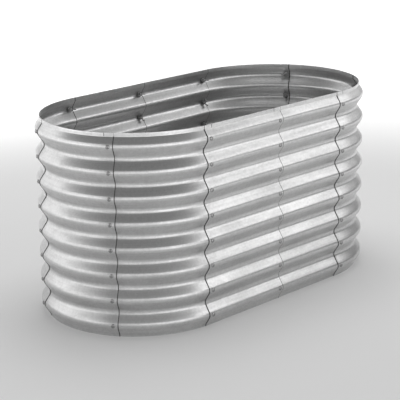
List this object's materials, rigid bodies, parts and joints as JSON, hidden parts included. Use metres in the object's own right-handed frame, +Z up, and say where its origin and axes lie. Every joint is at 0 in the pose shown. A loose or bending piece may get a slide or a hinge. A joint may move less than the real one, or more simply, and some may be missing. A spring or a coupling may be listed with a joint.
{
  "type": "raised garden bed",
  "caption": "Oval raised garden bed: an open ring of corrugated galvanised steel panels with a folded top hem, lapped and bolted through the crests.",
  "frame": {"origin": "on the ground, at the middle of the oval", "axes": "+Z up; +X along the straight sides; -Y is the long side nearest the viewer in the picture"},
  "size_m": [1.218, 0.617, 0.6096],
  "materials": {
    "galvanised_sheet": "bright galvanised sheet with faint streaks along the ribs",
    "zinc_plated_fasteners": "bright zinc plate"
  },
  "bodies": {
    "root": {"left_back_panel": "galvanised_sheet", "left_middle_panel": "galvanised_sheet", "left_front_panel": "galvanised_sheet", "front_left_panel": "galvanised_sheet", "front_right_panel": "galvanised_sheet", "right_front_panel": "galvanised_sheet", "right_middle_panel": "galvanised_sheet", "right_back_panel": "galvanised_sheet", "back_right_panel": "galvanised_sheet", "back_left_panel": "galvanised_sheet", "bolts_back_left": "zinc_plated_fasteners", "bolts_left_back": "zinc_plated_fasteners", "bolts_left_front": "zinc_plated_fasteners", "bolts_front_left": "zinc_plated_fasteners", "bolts_front_middle": "zinc_plated_fasteners", "bolts_front_right": "zinc_plated_fasteners", "bolts_right_front": "zinc_plated_fasteners", "bolts_right_back": "zinc_plated_fasteners", "bolts_back_right": "zinc_plated_fasteners", "bolts_back_middle": "zinc_plated_fasteners", "washers_back_left": "zinc_plated_fasteners", "washers_left_back": "zinc_plated_fasteners", "washers_left_front": "zinc_plated_fasteners", "washers_front_left": "zinc_plated_fasteners", "washers_front_middle": "zinc_plated_fasteners", "washers_front_right": "zinc_plated_fasteners", "washers_right_front": "zinc_plated_fasteners", "washers_right_back": "zinc_plated_fasteners", "washers_back_right": "zinc_plated_fasteners", "washers_back_middle": "zinc_plated_fasteners", "wing_nuts_back_left": "zinc_plated_fasteners", "wing_nuts_left_back": "zinc_plated_fasteners", "wing_nuts_left_front": "zinc_plated_fasteners", "wing_nuts_front_left": "zinc_plated_fasteners", "wing_nuts_front_middle": "zinc_plated_fasteners", "wing_nuts_front_right": "zinc_plated_fasteners", "wing_nuts_right_front": "zinc_plated_fasteners", "wing_nuts_right_back": "zinc_plated_fasteners", "wing_nuts_back_right": "zinc_plated_fasteners", "wing_nuts_back_middle": "zinc_plated_fasteners"}
  },
  "joints": []
}
